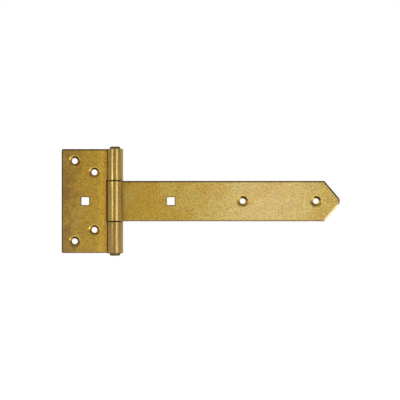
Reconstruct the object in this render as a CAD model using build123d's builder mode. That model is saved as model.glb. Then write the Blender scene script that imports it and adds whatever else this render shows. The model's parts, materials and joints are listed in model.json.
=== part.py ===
from build123d import *
from math import asin, degrees, isclose, radians, sin, tan
import os

# Tee gate hinge: a post leaf and a pointed strap, both rolled from sheet round one riveted pin.
# X runs along the strap to its point, Y into the post and gate, Z up along the pin.
# The origin is the centre of the post leaf's square bolt hole, on the mounting face.

# Sheet, pin and knuckles
sheet = 3.0
pin_diameter = 8.0
pin_clearance = 0.08          # radial, between the pin and every knuckle
knuckle_gap = 0.15            # along the pin, between neighbouring knuckles
seam_gap = 0.3                # between the end of a roll and the face it comes back to
edge_roll_width = 1.3         # blanked edges fall away on the side that is seen, across the face
edge_roll_depth = 0.5         # and into the thickness
deburr = 0.4                  # edges on the mounting side, of the square holes and of the knuckles

# Post leaf
leaf_height = 90.0
leaf_reach = 46.4             # from the pin's axis to the free edge
leaf_corner_radius = 1.5
notch_clearance = 0.3         # between the strap's knuckle and the leaf
notch_corner_radius = 1.0

# Gate strap
strap_width = 35.0
strap_reach = 194.1           # from the pin's axis to the rounded tip
point_angle = 99.0            # between the two cut edges of the point
tip_radius = 5.0
shoulder_radius = 1.5

# Riveted ends of the pin, hammered flat on top
head_overhang = 0.65          # of the head beyond the pin, all round
head_height = 2.0
head_shoulder_radius = 1.4

# Square holes for coach bolts
bolt_square = 6.6
bolt_corner_radius = 0.5
leaf_bolt_to_pin = 26.0
strap_bolt_to_pin = 48.0

# Countersunk screw holes
countersink_angle = 90.0
countersink_lip = 0.4         # the rim of each countersink is rounded over, across the face
countersink_lip_slope = 0.65  # and down the cone
leaf_screw_diameter = 5.0
leaf_countersink_diameter = 9.2
outer_screw_to_edge = 11.3    # from the leaf's free edge
outer_screw_to_end = 10.25    # from the leaf's upper or lower edge
inner_screw_to_barrel = 11.02
inner_screw_to_end = 20.1
strap_screw_diameter = 4.8
strap_countersink_diameter = 9.6
middle_screw_to_pin = 110.2
last_screw_to_tip = 20.5

# Rolled sheet, worked out from the sizes above; angles count from the leaf's own direction
bore_radius = pin_diameter / 2 + pin_clearance
barrel_radius = bore_radius + sheet
roll_start = 90.0             # where the flat back face touches the barrel
roll_angle = 360.0 - roll_start + degrees(asin((bore_radius - seam_gap) / barrel_radius))
notch_height = strap_width + 2 * knuckle_gap

# Point of the strap, along the strap from the pin's axis
point_half_angle = radians(point_angle / 2)
point_apex = strap_reach + tip_radius * (1 / sin(point_half_angle) - 1)
point_shoulder = point_apex - strap_width / 2 / tan(point_half_angle)

# Planes through the pin's axis, square to it, with the back face on the positive Y side
pin_axis = Axis((leaf_bolt_to_pin, -barrel_radius, 0), (0, 0, 1))
leaf_section_plane = Plane(pin_axis.position, x_dir=(-1, 0, 0), z_dir=(0, 0, -1))
strap_section_plane = Plane(pin_axis.position, x_dir=(1, 0, 0), z_dir=(0, 0, 1))

# Planes that face the viewer, with X along the leaf or strap from the pin's axis
pin_profile_plane = Plane(pin_axis.position, x_dir=(1, 0, 0), z_dir=(0, -1, 0))
strap_front_plane = pin_profile_plane.offset(sheet - barrel_radius)
leaf_front_plane = Plane(strap_front_plane.origin, x_dir=(-1, 0, 0), z_dir=(0, -1, 0))


def rolled_section(reach):
    """Section square to the pin: a flat strip whose end is rolled once round the pin at the origin."""
    with BuildSketch() as section:
        with BuildLine():
            back = Line((reach, barrel_radius), (0, barrel_radius))
            outside = CenterArc((0, 0), barrel_radius, roll_start, roll_angle)
            inside = CenterArc((0, 0), bore_radius, roll_start, roll_angle)
            front = Line(inside @ 0, (reach, bore_radius))
            Line(outside @ 1, inside @ 1)
            Line(front @ 1, back @ 0)
        make_face()
    return section.sketch


def flat_faces(solid):
    """The front and the back of the flat sheet."""
    faces = solid.faces().filter_by(Plane.XZ).sort_by(Axis.Y)
    return faces[0], faces[-1]


def blanked_edges(face, nearest=edge_roll_width):
    """The edges round a flat face, without those nearer to the pin, where it runs on into the roll."""
    return face.outer_wire().edges().filter_by(
        lambda edge: abs(edge.center().X - pin_axis.position.X) > nearest
    )


def outline_edges(face):
    """The edges round a flat face beyond the barrel, so without those of a notch."""
    return blanked_edges(face, 2 * barrel_radius)


def knuckle_rims(solid):
    """The outer edges of the rolled knuckles, at both ends of each."""
    return solid.edges().filter_by(GeomType.CIRCLE).filter_by(
        lambda edge: isclose(edge.radius, barrel_radius)
    )


def countersink_rims(face, diameter):
    """The edges of the countersinks in a flat face."""
    return face.inner_wires().edges().filter_by(GeomType.CIRCLE).filter_by(
        lambda edge: isclose(edge.radius, diameter / 2)
    )


os.makedirs("parts", exist_ok=True)

# Post leaf: one sheet with a knuckle above and below the notch
with BuildPart() as post_leaf:
    with BuildSketch(leaf_section_plane):
        add(rolled_section(leaf_reach))
    extrude(amount=leaf_height / 2, both=True)

    with BuildSketch(leaf_front_plane) as notch:
        Rectangle(2 * (barrel_radius + notch_clearance), notch_height)
        fillet(notch.vertices().group_by(Axis.X)[-1], notch_corner_radius)
    extrude(amount=2 * barrel_radius, both=True, mode=Mode.SUBTRACT)
    fillet(post_leaf.edges().filter_by(Axis.Y).group_by(Axis.X)[0], leaf_corner_radius)

    with BuildSketch(leaf_front_plane):
        with Locations((leaf_bolt_to_pin, 0)):
            RectangleRounded(bolt_square, bolt_square, bolt_corner_radius)
    extrude(amount=-sheet, mode=Mode.SUBTRACT)

    leaf_front, leaf_back = flat_faces(post_leaf)
    leaf_hole_edges = leaf_front.inner_wires().edges() + leaf_back.inner_wires().edges()
    notch_edges = blanked_edges(leaf_front) - outline_edges(leaf_front)
    chamfer(
        blanked_edges(leaf_back) + notch_edges + leaf_hole_edges + knuckle_rims(post_leaf), deburr
    )
    leaf_front = flat_faces(post_leaf)[0]
    chamfer(outline_edges(leaf_front), edge_roll_width, edge_roll_depth, reference=leaf_front)

    for screw_to_pin, screw_to_end in (
        (leaf_reach - outer_screw_to_edge, outer_screw_to_end),
        (barrel_radius + inner_screw_to_barrel, inner_screw_to_end),
    ):
        screw_height = leaf_height / 2 - screw_to_end
        with Locations(leaf_front_plane):
            with Locations((screw_to_pin, screw_height), (screw_to_pin, -screw_height)):
                CounterSinkHole(
                    leaf_screw_diameter / 2,
                    leaf_countersink_diameter / 2,
                    counter_sink_angle=countersink_angle,
                )

    leaf_front = flat_faces(post_leaf)[0]
    leaf_rims = countersink_rims(leaf_front, leaf_countersink_diameter)
    chamfer(leaf_rims, countersink_lip, countersink_lip_slope, reference=leaf_front)

post_leaf.part.label = "post_leaf"
export_step(post_leaf.part, "parts/post_leaf.step")

# Gate strap: one sheet with the middle knuckle at one end and a point at the other
with BuildPart() as gate_strap:
    with BuildSketch(strap_section_plane):
        add(rolled_section(point_apex))
    extrude(amount=strap_width / 2, both=True)

    with BuildSketch(strap_front_plane) as blank:
        with BuildLine():
            Polyline(
                (-barrel_radius, -strap_width / 2),
                (point_shoulder, -strap_width / 2),
                (point_apex, 0),
                (point_shoulder, strap_width / 2),
                (-barrel_radius, strap_width / 2),
                close=True,
            )
        make_face()
        fillet(blank.vertices().group_by(Axis.X)[1], shoulder_radius)
        fillet(blank.vertices().group_by(Axis.X)[-1], tip_radius)
    extrude(amount=2 * barrel_radius, both=True, mode=Mode.INTERSECT)

    with BuildSketch(strap_front_plane):
        with Locations((strap_bolt_to_pin, 0)):
            RectangleRounded(bolt_square, bolt_square, bolt_corner_radius)
    extrude(amount=-sheet, mode=Mode.SUBTRACT)

    strap_front, strap_back = flat_faces(gate_strap)
    strap_hole_edges = strap_front.inner_wires().edges() + strap_back.inner_wires().edges()
    chamfer(blanked_edges(strap_back) + strap_hole_edges + knuckle_rims(gate_strap), deburr)
    strap_front = flat_faces(gate_strap)[0]
    chamfer(outline_edges(strap_front), edge_roll_width, edge_roll_depth, reference=strap_front)

    with Locations(strap_front_plane):
        with Locations((middle_screw_to_pin, 0), (strap_reach - last_screw_to_tip, 0)):
            CounterSinkHole(
                strap_screw_diameter / 2,
                strap_countersink_diameter / 2,
                counter_sink_angle=countersink_angle,
            )

    strap_front = flat_faces(gate_strap)[0]
    strap_rims = countersink_rims(strap_front, strap_countersink_diameter)
    chamfer(strap_rims, countersink_lip, countersink_lip_slope, reference=strap_front)

gate_strap.part.label = "gate_strap"
export_step(gate_strap.part, "parts/gate_strap.step")

# Hinge pin: a plain pin whose ends are riveted over the outer knuckles
pin_radius = pin_diameter / 2
head_radius = pin_radius + head_overhang
head_seat = leaf_height / 2
head_top = head_seat + head_height

with BuildPart() as hinge_pin:
    with BuildSketch(pin_profile_plane):
        with BuildLine():
            Polyline(
                (0, head_top),
                (0, 0),
                (pin_radius, 0),
                (pin_radius, head_seat),
                (head_radius, head_seat),
                (head_radius, head_top),
                close=True,
            )
        make_face()
    revolve(axis=pin_axis)
    fillet(hinge_pin.edges().group_by(Axis.Z)[-1], head_shoulder_radius)
    mirror(about=Plane.XY)

hinge_pin.part.label = "hinge_pin"
export_step(hinge_pin.part, "parts/hinge_pin.step")
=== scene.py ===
import json
import math
from types import SimpleNamespace

import bpy
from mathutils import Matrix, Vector


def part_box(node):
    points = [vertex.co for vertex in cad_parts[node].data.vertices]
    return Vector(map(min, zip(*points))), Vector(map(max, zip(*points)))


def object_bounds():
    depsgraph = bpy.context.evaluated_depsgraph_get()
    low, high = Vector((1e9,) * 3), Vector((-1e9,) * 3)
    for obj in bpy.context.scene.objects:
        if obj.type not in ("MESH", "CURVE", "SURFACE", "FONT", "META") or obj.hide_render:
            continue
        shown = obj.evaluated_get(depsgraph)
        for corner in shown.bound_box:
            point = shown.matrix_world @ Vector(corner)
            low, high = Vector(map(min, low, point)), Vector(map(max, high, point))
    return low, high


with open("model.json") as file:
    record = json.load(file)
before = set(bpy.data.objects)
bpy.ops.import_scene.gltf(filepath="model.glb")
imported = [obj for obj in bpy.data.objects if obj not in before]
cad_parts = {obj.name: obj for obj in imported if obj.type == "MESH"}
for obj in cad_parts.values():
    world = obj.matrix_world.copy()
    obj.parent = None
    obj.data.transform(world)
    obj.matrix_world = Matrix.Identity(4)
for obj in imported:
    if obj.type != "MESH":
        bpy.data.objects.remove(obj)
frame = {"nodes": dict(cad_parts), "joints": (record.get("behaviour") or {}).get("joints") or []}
cad_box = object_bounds()

MM = 0.001

# Places and sizes read from the frame
pin_axis = Vector(frame["joints"][0]["pos_m"])
barrel_radius = -pin_axis.y
leaf_free_edge, _, leaf_lower_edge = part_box("post_leaf")[0]
strap_upper_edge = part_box("gate_strap")[1].z
centre = (cad_box[0] + cad_box[1]) / 2

# The flat front faces lie one sheet before the mounting plane
FRONT_Y = -3.0 * MM

# The photograph's frame: how wide it is at the flat front faces, and where the object's centre falls in it
PICTURE_PIXELS = 400
PIXEL = 0.8645 * MM
OBJECT_CENTRE_PIXEL = (200.7, 201.1)
LENS_MM = 150.0
SENSOR_MM = 36.0
CLIP_NEAR = 0.01
CLIP_FAR = 50.0

# The floor: its size, how far it lies below the hinge, its colour, and the glow that makes it white
FLOOR_SIZE = 8.0
FLOOR_DROP = 0.30
FLOOR_COLOUR = (0.85, 0.85, 0.85, 1.0)
FLOOR_GLOW = 0.5

# How bright the world is: the backdrop, the room at the sides, behind the camera and overhead, and the
# light all round
WHITE = 1.0
SIDE_ROOM = 0.58
DIM_ROOM = 0.2
CEILING = 1.25
AMBIENT = 0.6

# Where the world changes: from backdrop to room and from its sides to behind the camera, both as the part
# of a direction that points to the camera, and from walls to ceiling, as the part that points up
BACKDROP_TO_ROOM = (-0.95, -0.5)
SIDES_TO_CAMERA = (-0.3, 0.7)
WALLS_TO_CEILING = (0.8, 0.95)

# Soft boxes: place, aim, width and height in metres, and radiance
LIGHTS = {
    "key": ((0.170, -0.28, 0.02), (0.14, FRONT_Y, 0.02), (0.09, 0.38), 2.0),
    "barrel_left": ((-0.21, -0.33, 0.045), tuple(pin_axis), (0.05, 0.13), 5.5),
    "low_right": ((0.502, -0.426, -0.32), (0.12, FRONT_Y, 0.0), (0.10, 0.28), 8.0),
}

# Yellow-passivated zinc, as colours without light: the usual gold, a thinner and paler film that also
# paints the sheen towards the strap's end, the film where the sheet was drawn round the pin, the brown of
# the grain, the browns of painted shade at the leaf's free end, the lower knuckle and the covered flanks,
# and dirt and painted shade
GOLD = (0.57, 0.355, 0.020, 1.0)
STRAW = (0.60, 0.435, 0.070, 1.0)
DRAWN_GOLD = (0.57, 0.385, 0.060, 1.0)
BROWN_GOLD = (0.40, 0.205, 0.014, 1.0)
SHADE_BROWN = (0.27, 0.125, 0.016, 1.0)
COVERED_SHADE_BROWN = (0.09, 0.036, 0.003, 1.0)
DARK_DIRT_AND_SHADE = (0.055, 0.028, 0.004, 1.0)

# What the film takes out of light that grazes it, and its clear coat
EDGE_TINT = (0.60, 0.45, 0.22, 1.0)
COAT_IOR = 1.7
COAT_ROUGHNESS = 0.25

# Where the finish, the painted light and the painted shade change, in millimetres from the place that is
# named
BARREL_END = (0.1, 1.0)              # outwards from the barrel's radius
MIDDLE_KNUCKLE_END = (0.0, 0.15)     # upwards from the strap's upper edge, as the next two
INNER_ENDS = (2.0, 4.0)
NOTCH_END = (0.4, 0.8)
KNUCKLE_GAP = (0.4, 1.0)             # up and down from the strap's upper or lower edge
RIGHT_FLANK = (5.0, 6.0)             # along X from the pin's axis, as the next six
COVERED_FLANK = (-6.7, -5.6)
NOTCH_EDGE_START = (-8.2, -7.7)
NOTCH_EDGE_STOP = (-7.3, -7.15)
# Painted light: the leaf's front is lighter between these two, beside the barrel
LIT_BAND_START = (-18.0, -9.0)
LIT_BAND_STOP = (-6.0, -4.0)
# Painted sheen: the film turns paler along the strap between these two
SHEEN_ALONG_STRAP = (30.0, 75.0)
COVERED_DEPTH = (0.0, 2.5)           # along Y from the pin's axis
CREASE_START = (-9.8, -7.8)          # along Y from the mounting plane, as the next
CREASE_STOP = (-3.0, -1.0)
LOWER_END = (0.3, 1.4)               # upwards from the leaf's lower edge
LOWER_KNUCKLE = (-2.0, 0.0)          # upwards from the strap's lower edge
# Painted shade: the leaf darker and browner towards its free end, from these distances
BROWN_END_REACH = (28.0, 54.0)       # along X from the leaf's free edge, before noise makes it ragged
CLOUD_RAGGEDNESS = 24.0
BLOTCH_RAGGEDNESS = 40.0

# Which way a surface faces, as the part of its normal along one axis
KNUCKLE_END_Z = (0.4, 0.6)
FRONT_SIDE_Y = (-0.5, -0.2)
SHEARED_SIDE_Y = (0.25, 0.4)
PRESSED_FROM_Y = (0.50, 0.65)
PRESSED_TO_Y = (0.96, 0.99)
CONE_TO_Y = (0.75, 0.83)
ROLLED_EDGE_Y = (0.90, 0.925)
LIT_SIDE_X = (0.1, 0.5)

# Painted shade in the countersinks: strongest on the walls whose normals point this way, at the upper right
# of each hole
SHADE_SIDE_X = -0.39
SHADE_SIDE_Z = -0.92
SHADE_SIDE_RANGE = (0.1, 0.6)

# The square holes: along X from the pin's axis, and their rims, in millimetres from a hole's centre
SQUARE_HOLES_X = (-26.0, 48.0)
SQUARE_RIM = (4.1, 4.8)

# How strong the film, the dirt, the painted shade and the painted light are where they are fullest
CREASE_SHADE = 0.6
GAP_SHADE = 0.7
NOTCH_SHADE = 0.9
ANY_END_DIRT = 0.3
LOWER_END_SHADE = 0.6
ROLLED_EDGE_DARKENING = 0.65
SQUARE_RIM_DARKENING = 0.4
CONE_SHADE = (0.25, 1.0)              # weakest and strongest painted shade
SIDE_DIRT = (0.1, 0.6)
COVERED_SHADE = 0.95
LOWER_KNUCKLE_SHADE = 0.3
FREE_END_SHADE = 0.8
SHEEN_SHIFT = (-0.12, 0.12)
LIT_BAND_BRIGHTENING = 1.45
CONE_PAINTED_LIGHT = 1.7

# Noise: the range that counts, how strong the grain is, and how much the specks change the shade
NOISE_RANGE = (0.3, 0.7)
FILM_RANGE = (0.40, 0.62)
FLAT_GRAIN_RANGE, FLAT_GRAIN = (0.46, 0.68), (0.0, 0.7)
BARREL_GRAIN_RANGE, BARREL_GRAIN = (0.40, 0.68), (0.1, 0.4)
SHEAR_STREAK_RANGE = (0.45, 0.75)
FLAT_SPECKS = (0.70, 1.30)
BARREL_SPECKS = (0.92, 1.08)

# Roughness and relief
FLAT_ROUGHNESS_SPREAD = 0.07
BARREL_ROUGHNESS = (0.22, 0.34)
PRESSED_ROUGHNESS = 0.28
DIRT_ROUGHNESS = 0.9
DIRT_COVER = 0.9
EDGE_SOFTNESS = 0.45 * MM
RELIEF_DEPTH = 0.09 * MM
STREAK_RELIEF = 0.5


def add_node(tree, kind, inputs=None, **settings):
    """Adds a node, sets its properties, and feeds its inputs with values or with other nodes' sockets."""
    node = tree.nodes.new(kind)
    for name, value in settings.items():
        setattr(node, name, value)
    for name, value in (inputs or {}).items():
        if isinstance(value, bpy.types.NodeSocket):
            tree.links.new(value, node.inputs[name])
        else:
            node.inputs[name].default_value = value
    return node


def calculate(tree, operation, first, *others):
    """Arithmetic on sockets or numbers: the operation joins each further value to the result so far."""
    result = first
    for other in others or (0.0,):
        node = add_node(tree, "ShaderNodeMath", {0: result, 1: other}, operation=operation)
        result = node.outputs[0]
    return result


def multiply(tree, *values):
    """The product of sockets and numbers."""
    return calculate(tree, "MULTIPLY", *values)


def greatest(tree, *values):
    """The greatest of sockets and numbers."""
    return calculate(tree, "MAXIMUM", *values)


def rest_of(tree, value):
    """What a value lacks to 1."""
    return calculate(tree, "SUBTRACT", 1.0, value)


def smooth_step(tree, value, limits, results):
    """A value that goes smoothly from the first result to the second between two limits."""
    node = add_node(
        tree,
        "ShaderNodeMapRange",
        {
            "Value": value,
            "From Min": limits[0],
            "From Max": limits[1],
            "To Min": results[0],
            "To Max": results[1],
        },
        interpolation_type="SMOOTHSTEP",
    )
    return node.outputs["Result"]


def rise(tree, value, limits, top=1.0):
    """A value that goes smoothly from 0 to top between two limits."""
    return smooth_step(tree, value, limits, (0.0, top))


def fall(tree, value, limits, top=1.0):
    """A value that goes smoothly from top to 0 between two limits."""
    return smooth_step(tree, value, limits, (top, 0.0))


def measured_from(place, limits):
    """Limits in metres, from a place in metres and distances from it in millimetres."""
    return tuple(place + limit * MM for limit in limits)


def noise(tree, coordinates, size, detail=2.0, stretch=(1.0, 1.0, 1.0), seed=0.0):
    """Noise whose lumps are about size metres across, times stretch along each axis."""
    mapping = add_node(
        tree,
        "ShaderNodeMapping",
        {
            "Vector": coordinates,
            "Location": (seed, seed, seed),
            "Scale": tuple(1.0 / (size * along) for along in stretch),
        },
    )
    texture = add_node(
        tree,
        "ShaderNodeTexNoise",
        {"Vector": mapping.outputs["Vector"], "Scale": 1.0, "Detail": detail},
    )
    return texture.outputs["Fac"]


def mix_colour(tree, factor, first, second):
    """Blends two colours, each a socket or a fixed colour."""
    node = add_node(tree, "ShaderNodeMix", {0: factor, 6: first, 7: second}, data_type="RGBA")
    return node.outputs[2]


def mix_value(tree, factor, first, second):
    """Blends two numbers, each a socket or a fixed number."""
    node = add_node(tree, "ShaderNodeMix", {0: factor, 2: first, 3: second}, data_type="FLOAT")
    return node.outputs[0]


def surface_places(tree):
    """Where a point of the surface is, and which way the surface faces there."""
    coordinates = add_node(tree, "ShaderNodeTexCoord")
    position = coordinates.outputs["Object"]
    along = add_node(tree, "ShaderNodeSeparateXYZ", {"Vector": position}).outputs
    normal = add_node(tree, "ShaderNodeSeparateXYZ", {"Vector": coordinates.outputs["Normal"]}).outputs
    from_axis = add_node(
        tree, "ShaderNodeVectorMath", {0: position, 1: tuple(pin_axis)}, operation="SUBTRACT"
    )
    across_axis = add_node(
        tree,
        "ShaderNodeVectorMath",
        {0: from_axis.outputs["Vector"], 1: (1.0, 1.0, 0.0)},
        operation="MULTIPLY",
    )
    axis_distance = add_node(
        tree, "ShaderNodeVectorMath", {0: across_axis.outputs["Vector"]}, operation="LENGTH"
    )
    return SimpleNamespace(
        position=position,
        x=along["X"],
        y=along["Y"],
        z=along["Z"],
        height=calculate(tree, "ABSOLUTE", along["Z"]),
        axis_distance=axis_distance.outputs["Value"],
        normal=normal,
        facing=calculate(tree, "ABSOLUTE", normal["Y"]),
        upright=calculate(tree, "ABSOLUTE", normal["Z"]),
    )


def surface_patterns(tree, position):
    """Noise for the film's clouds and blotches, the sheet's grain and specks, and streaks.

    The streaks run along the pin on the barrel, and through the thickness on sheared sides.
    """
    return SimpleNamespace(
        clouds=noise(tree, position, 22 * MM),
        blotches=noise(tree, position, 5 * MM, detail=3.0, seed=7.0),
        grain=noise(tree, position, 1.5 * MM, detail=3.0, seed=3.0),
        specks=noise(tree, position, 0.7 * MM, seed=5.0),
        barrel_streaks=noise(tree, position, 0.5 * MM, stretch=(1.0, 1.0, 24.0), seed=11.0),
        shear_streaks=noise(tree, position, 0.35 * MM, stretch=(1.0, 10.0, 1.0), seed=17.0),
    )


def barrel_masks(tree, at):
    """How much a point is on the barrel or on a knuckle's end, and where painted shade lies in the seams
    and gaps beside the barrel and on the lower knuckle.
    """
    on_barrel = fall(tree, at.axis_distance, measured_from(barrel_radius, BARREL_END))
    any_end = multiply(tree, rise(tree, at.upright, KNUCKLE_END_Z), on_barrel)
    return SimpleNamespace(
        on_barrel=on_barrel,
        off_barrel=rest_of(tree, on_barrel),
        any_end=any_end,
        # The ends that meet another knuckle
        knuckle_end=multiply(
            tree, any_end, fall(tree, at.height, measured_from(strap_upper_edge, INNER_ENDS))
        ),
        # Painted shade on the barrel on both sides of the gaps between the knuckles
        gap_shade=multiply(
            tree,
            fall(
                tree,
                calculate(tree, "ABSOLUTE", calculate(tree, "SUBTRACT", at.height, strap_upper_edge)),
                measured_from(0.0, KNUCKLE_GAP),
                GAP_SHADE,
            ),
            on_barrel,
        ),
        # Painted shade where the strap's roll comes back to the strap
        crease_shade=multiply(
            tree,
            rise(tree, at.x, measured_from(pin_axis.x, RIGHT_FLANK)),
            rise(tree, at.y, measured_from(0.0, CREASE_START), CREASE_SHADE),
            fall(tree, at.height, measured_from(strap_upper_edge, MIDDLE_KNUCKLE_END)),
            fall(tree, at.y, measured_from(0.0, CREASE_STOP)),
            on_barrel,
        ),
        # Painted shade on the side of the barrel that the leaf covers
        covered_flank_shade=multiply(
            tree,
            fall(tree, at.x, measured_from(pin_axis.x, COVERED_FLANK), COVERED_SHADE),
            fall(tree, at.y, measured_from(pin_axis.y, COVERED_DEPTH)),
            on_barrel,
        ),
        # Painted shade on the leaf's edge beside the strap's knuckle
        notch_edge_shade=multiply(
            tree,
            rise(tree, at.x, measured_from(pin_axis.x, NOTCH_EDGE_START), NOTCH_SHADE),
            fall(tree, at.x, measured_from(pin_axis.x, NOTCH_EDGE_STOP)),
            fall(tree, at.height, measured_from(strap_upper_edge, NOTCH_END)),
        ),
        # Painted shade: the lower knuckle browner and darker
        lower_knuckle_shade=multiply(
            tree,
            fall(tree, at.z, measured_from(-strap_upper_edge, LOWER_KNUCKLE), LOWER_KNUCKLE_SHADE),
            on_barrel,
        ),
    )


def square_rim_mask(tree, at, hole_x):
    """How much a point is on the rim of the square hole at hole_x millimetres from the pin's axis."""
    from_hole = calculate(tree, "SUBTRACT", at.x, pin_axis.x + hole_x * MM)
    distance = greatest(tree, calculate(tree, "ABSOLUTE", from_hole), at.height)
    return fall(tree, distance, measured_from(0.0, SQUARE_RIM))


def sheet_masks(tree, at, off_barrel):
    """How much a point of the sheet is sheared or pressed, where the painted light beside the barrel lies,
    and the painted light and painted shade in the countersinks.
    """
    # Pressed slopes are the rolled-over edges and the countersinks with their lips
    pressed = multiply(
        tree, rise(tree, at.facing, PRESSED_FROM_Y), fall(tree, at.facing, PRESSED_TO_Y), off_barrel
    )
    square_rim = greatest(tree, *(square_rim_mask(tree, at, hole_x) for hole_x in SQUARE_HOLES_X))
    cone = multiply(tree, fall(tree, at.facing, CONE_TO_Y), pressed, rest_of(tree, square_rim))
    # Painted light: the countersink walls that face right are made lighter
    painted_light_cone = multiply(tree, cone, rise(tree, at.normal["X"], LIT_SIDE_X))
    # Painted shade: strongest on the countersink walls that face down and left
    shade_side = calculate(
        tree, "ADD", multiply(tree, at.normal["X"], SHADE_SIDE_X), multiply(tree, at.normal["Z"], SHADE_SIDE_Z)
    )
    return SimpleNamespace(
        # Painted light: the leaf's front lighter beside the barrel, where the barrel's shadow falls
        painted_light_by_barrel=multiply(
            tree,
            rise(tree, at.x, measured_from(pin_axis.x, LIT_BAND_START)),
            fall(tree, at.x, measured_from(pin_axis.x, LIT_BAND_STOP)),
            fall(tree, at.normal["Y"], FRONT_SIDE_Y),
            off_barrel,
        ),
        sheared=multiply(tree, fall(tree, at.facing, SHEARED_SIDE_Y), off_barrel),
        pressed=pressed,
        # The rolled-over edges made darker all round
        rolled_edge=multiply(tree, pressed, rise(tree, at.facing, ROLLED_EDGE_Y, ROLLED_EDGE_DARKENING)),
        # A darker rim round each square hole
        square_rim=multiply(tree, square_rim, SQUARE_RIM_DARKENING),
        painted_light_cone=painted_light_cone,
        # Painted shade in the countersinks, a little all round and most at the upper right
        painted_shade_cone=multiply(
            tree,
            calculate(tree, "SUBTRACT", cone, painted_light_cone),
            smooth_step(tree, shade_side, SHADE_SIDE_RANGE, CONE_SHADE),
        ),
        # Painted shade: darker along the bottom, on the leaf's lower edge and the pin's lower head
        lower_end_shade=fall(tree, at.z, measured_from(leaf_lower_edge, LOWER_END), LOWER_END_SHADE),
    )


def film_colour(tree, at, patterns, barrel, flat, tone):
    """The film: wide clouds, brown places and the sheet's grain, then lighter and darker specks, with
    painted light and shade: a paler sheen towards the strap's end, the leaf browner towards its free end, a
    browner lower knuckle, dark covered flanks, a lighter band beside the barrel and lighter countersink
    walls.
    """
    # Painted sheen: the film turns paler towards the strap's end
    painted_sheen = smooth_step(tree, at.x, measured_from(pin_axis.x, SHEEN_ALONG_STRAP), SHEEN_SHIFT)
    film = calculate(tree, "ADD", patterns.clouds, painted_sheen)
    # Painted shade: the leaf darker and browner towards its free end, with a ragged border
    ragged_x = calculate(
        tree,
        "ADD",
        at.x,
        multiply(tree, patterns.clouds, CLOUD_RAGGEDNESS * MM),
        multiply(tree, patterns.blotches, BLOTCH_RAGGEDNESS * MM),
    )
    free_end_shade = fall(tree, ragged_x, measured_from(leaf_free_edge, BROWN_END_REACH), FREE_END_SHADE)
    grain = mix_value(
        tree,
        barrel.on_barrel,
        smooth_step(tree, patterns.grain, FLAT_GRAIN_RANGE, FLAT_GRAIN),
        smooth_step(tree, patterns.grain, BARREL_GRAIN_RANGE, BARREL_GRAIN),
    )
    colour = mix_colour(tree, rise(tree, film, FILM_RANGE), GOLD, STRAW)
    for amount, layer in (
        (barrel.on_barrel, DRAWN_GOLD),
        (free_end_shade, SHADE_BROWN),
        (barrel.lower_knuckle_shade, SHADE_BROWN),
        (barrel.covered_flank_shade, COVERED_SHADE_BROWN),
        (grain, BROWN_GOLD),
    ):
        colour = mix_colour(tree, amount, colour, layer)

    flat_specks, barrel_specks = (
        smooth_step(tree, patterns.specks, NOISE_RANGE, tuple(share * tone for share in shares))
        for shares in (FLAT_SPECKS, BARREL_SPECKS)
    )
    shade = multiply(
        tree,
        mix_value(tree, barrel.on_barrel, flat_specks, barrel_specks),
        mix_value(tree, flat.painted_light_by_barrel, 1.0, LIT_BAND_BRIGHTENING),
        mix_value(tree, flat.painted_light_cone, 1.0, CONE_PAINTED_LIGHT),
    )
    scaled = add_node(tree, "ShaderNodeVectorMath", {0: colour, "Scale": shade}, operation="SCALE")
    return scaled.outputs["Vector"]


def dirt_and_painted_shade(tree, patterns, barrel, flat):
    """Dirt on sheared sides and knuckle ends, painted shade in the seams, the knuckle gaps, the
    countersinks and along the bottom, and darker rolled edges and square-hole rims.
    """
    side_streaks = smooth_step(tree, patterns.shear_streaks, SHEAR_STREAK_RANGE, SIDE_DIRT)
    return greatest(
        tree,
        multiply(tree, side_streaks, flat.sheared),
        flat.painted_shade_cone,
        flat.rolled_edge,
        flat.square_rim,
        flat.lower_end_shade,
        barrel.knuckle_end,
        multiply(tree, barrel.any_end, ANY_END_DIRT),
        barrel.gap_shade,
        barrel.crease_shade,
        barrel.notch_edge_shade,
    )


def surface_roughness(tree, patterns, barrel, flat, flat_roughness):
    """Grained on the flats, smoother on pressed slopes and round the pin, dull under thick dirt."""
    spread = (flat_roughness - FLAT_ROUGHNESS_SPREAD, flat_roughness + FLAT_ROUGHNESS_SPREAD)
    dull = smooth_step(tree, patterns.grain, NOISE_RANGE, spread)
    smooth = smooth_step(tree, patterns.barrel_streaks, NOISE_RANGE, BARREL_ROUGHNESS)
    sheet_roughness = mix_value(tree, flat.pressed, dull, PRESSED_ROUGHNESS)
    clean = mix_value(tree, barrel.on_barrel, sheet_roughness, smooth)
    return mix_value(tree, barrel.knuckle_end, clean, DIRT_ROUGHNESS)


def surface_relief(tree, patterns, barrel, flat):
    """The normal with softened edges, rolled grain on the flats, and the streaks."""
    softened = add_node(tree, "ShaderNodeBevel", {"Radius": EDGE_SOFTNESS}, samples=4)
    barrel_streaks = multiply(tree, patterns.barrel_streaks, barrel.on_barrel)
    streaks = mix_value(tree, flat.sheared, barrel_streaks, patterns.shear_streaks)
    flat_grain = multiply(
        tree,
        calculate(tree, "ADD", patterns.grain, patterns.specks),
        calculate(tree, "SUBTRACT", barrel.off_barrel, flat.pressed),
    )
    relief = calculate(tree, "ADD", flat_grain, multiply(tree, streaks, STREAK_RELIEF))
    bump = add_node(
        tree,
        "ShaderNodeBump",
        {
            "Strength": 1.0,
            "Distance": RELIEF_DEPTH,
            "Height": relief,
            "Normal": softened.outputs["Normal"],
        },
    )
    return bump.outputs["Normal"]


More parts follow.
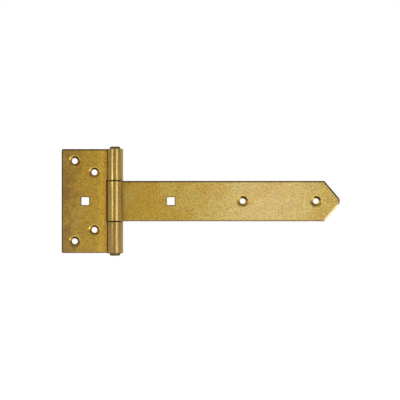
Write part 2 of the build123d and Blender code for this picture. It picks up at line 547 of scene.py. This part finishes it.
def yellow_zinc(name, flat_roughness, tone=1.0, coat=1.0):
    """Satin zinc plating with a grained yellow film, rougher on the flats than on the rolled barrel."""
    material = bpy.data.materials.new(name)
    material.use_nodes = True
    tree = material.node_tree
    tree.nodes.clear()

    at = surface_places(tree)
    patterns = surface_patterns(tree, at.position)
    barrel = barrel_masks(tree, at)
    flat = sheet_masks(tree, at, barrel.off_barrel)

    # Dirt between the knuckles covers the metal; there, and under the painted shade in the gaps, the
    # countersinks, the covered flanks and at the notch edge, the film has no gloss
    film = film_colour(tree, at, patterns, barrel, flat, tone)
    dirt_and_shade = dirt_and_painted_shade(tree, patterns, barrel, flat)
    glossless = greatest(
        tree,
        barrel.knuckle_end,
        barrel.gap_shade,
        flat.painted_shade_cone,
        barrel.covered_flank_shade,
        barrel.notch_edge_shade,
    )
    shader = add_node(
        tree,
        "ShaderNodeBsdfPrincipled",
        {
            "Base Color": mix_colour(tree, dirt_and_shade, film, DARK_DIRT_AND_SHADE),
            "Metallic": rest_of(tree, multiply(tree, barrel.knuckle_end, DIRT_COVER)),
            "Roughness": surface_roughness(tree, patterns, barrel, flat, flat_roughness),
            "Normal": surface_relief(tree, patterns, barrel, flat),
            "Specular Tint": EDGE_TINT,
            "Coat Weight": multiply(tree, rest_of(tree, glossless), coat),
            "Coat IOR": COAT_IOR,
            "Coat Roughness": COAT_ROUGHNESS,
        },
    )
    add_node(tree, "ShaderNodeOutputMaterial", {"Surface": shader.outputs["BSDF"]})
    return material


def dress(node, material):
    """Gives a CAD node its finished material."""
    for slot in frame["nodes"][node].material_slots:
        slot.material = material


def area_light(name, place, aim, size, radiance):
    """A soft box of the given size in metres that looks as bright as radiance, unseen by the camera."""
    light = bpy.data.lights.new(name, "AREA")
    light.shape = "RECTANGLE"
    light.size, light.size_y = size
    light.energy = radiance * math.pi * size[0] * size[1]
    lamp = bpy.data.objects.new(name, light)
    lamp.location = place
    lamp.rotation_euler = (Vector(aim) - Vector(place)).to_track_quat("-Z", "Y").to_euler()
    lamp.visible_camera = False
    bpy.context.scene.collection.objects.link(lamp)


def studio_world():
    """White for the eye; metal sees white behind the hinge, a dimmer room round it and a bright ceiling."""
    world = bpy.data.worlds.new("studio")
    bpy.context.scene.world = world
    world.use_nodes = True
    tree = world.node_tree
    tree.nodes.clear()
    path = add_node(tree, "ShaderNodeLightPath").outputs
    coordinates = add_node(tree, "ShaderNodeTexCoord")
    direction = add_node(
        tree, "ShaderNodeSeparateXYZ", {"Vector": coordinates.outputs["Generated"]}
    ).outputs
    towards_camera = multiply(tree, direction["Y"], -1.0)
    room = smooth_step(tree, towards_camera, SIDES_TO_CAMERA, (SIDE_ROOM, DIM_ROOM))
    walls = mix_value(tree, rise(tree, towards_camera, BACKDROP_TO_ROOM), WHITE, room)
    surround = mix_value(tree, rise(tree, direction["Z"], WALLS_TO_CEILING), walls, CEILING)
    mirrored = mix_value(tree, path["Is Glossy Ray"], AMBIENT, surround)
    seen = greatest(tree, path["Is Camera Ray"], path["Is Transmission Ray"])
    background = add_node(
        tree,
        "ShaderNodeBackground",
        {"Color": (1.0, 1.0, 1.0, 1.0), "Strength": mix_value(tree, seen, mirrored, WHITE)},
    )
    add_node(tree, "ShaderNodeOutputWorld", {"Surface": background.outputs["Background"]})


def pale_floor():
    """A wide white floor well below the hinge, which keeps the hinge's shadow."""
    bpy.ops.mesh.primitive_plane_add(
        size=FLOOR_SIZE, location=(centre.x, centre.y, cad_box[0].z - FLOOR_DROP)
    )
    floor = bpy.context.object
    floor.name = "studio_floor"
    material = bpy.data.materials.new("pale_floor")
    material.use_nodes = True
    tree = material.node_tree
    tree.nodes.clear()
    path = add_node(tree, "ShaderNodeLightPath").outputs
    seen = greatest(
        tree, path["Is Camera Ray"], path["Is Glossy Ray"], path["Is Transmission Ray"]
    )
    matt = add_node(tree, "ShaderNodeBsdfDiffuse", {"Color": FLOOR_COLOUR})
    glow = add_node(tree, "ShaderNodeEmission", {"Strength": multiply(tree, seen, FLOOR_GLOW)})
    both = add_node(
        tree, "ShaderNodeAddShader", {0: matt.outputs["BSDF"], 1: glow.outputs["Emission"]}
    )
    add_node(tree, "ShaderNodeOutputMaterial", {"Surface": both.outputs["Shader"]})
    floor.data.materials.append(material)


def photograph_camera():
    """Looks square at the front, with the object as large and as placed as in the photograph."""
    distance = PICTURE_PIXELS * PIXEL * LENS_MM / SENSOR_MM
    half = PICTURE_PIXELS / 2
    camera = bpy.data.cameras.new("camera")
    camera.lens = LENS_MM
    camera.sensor_width = SENSOR_MM
    camera.clip_start = CLIP_NEAR
    camera.clip_end = CLIP_FAR
    eye = bpy.data.objects.new("camera", camera)
    eye.location = (
        centre.x - (OBJECT_CENTRE_PIXEL[0] - half) * PIXEL,
        FRONT_Y - distance,
        centre.z + (OBJECT_CENTRE_PIXEL[1] - half) * PIXEL,
    )
    eye.rotation_euler = (math.radians(90.0), 0.0, 0.0)
    bpy.context.scene.collection.objects.link(eye)
    bpy.context.scene.camera = eye


leaf_and_strap = yellow_zinc("yellow_zinc", flat_roughness=0.58)
dress("post_leaf", leaf_and_strap)
dress("gate_strap", leaf_and_strap)
dress("hinge_pin", yellow_zinc("pin_zinc", flat_roughness=0.5, tone=0.45, coat=0.2))

studio_world()
pale_floor()
for light_name, settings in LIGHTS.items():
    area_light(light_name, *settings)
photograph_camera()
bpy.context.scene.view_settings.view_transform = "Standard"
